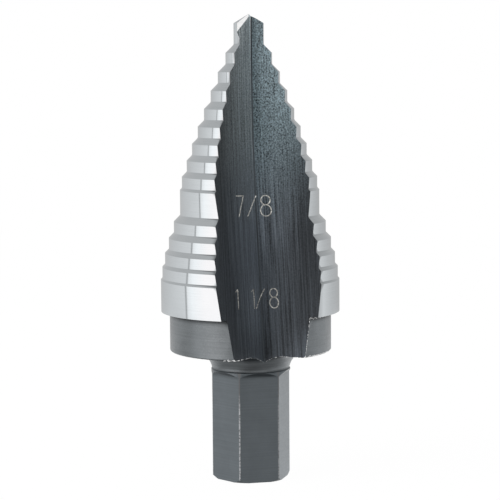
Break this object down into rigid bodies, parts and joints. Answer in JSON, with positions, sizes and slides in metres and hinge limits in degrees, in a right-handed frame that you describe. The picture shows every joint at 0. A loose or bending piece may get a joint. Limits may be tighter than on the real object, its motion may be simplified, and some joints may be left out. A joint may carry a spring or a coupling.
{
  "type": "step drill",
  "caption": "Single-flute step drill with a split point, stepped lands that size two hole diameters, a plain collar and a hexagonal shank for a chuck.",
  "frame": {"origin": "centre of the shank's flat end", "axes": "+Z along the drill's axis to the point, -Y square to a shank flat and along the middle of the flute"},
  "size_m": [0.0286, 0.0265, 0.0742],
  "materials": {
    "steel": "ground bright on the lands and the split, black oxide elsewhere"
  },
  "bodies": {
    "root": {"step_drill": "steel"}
  },
  "joints": []
}
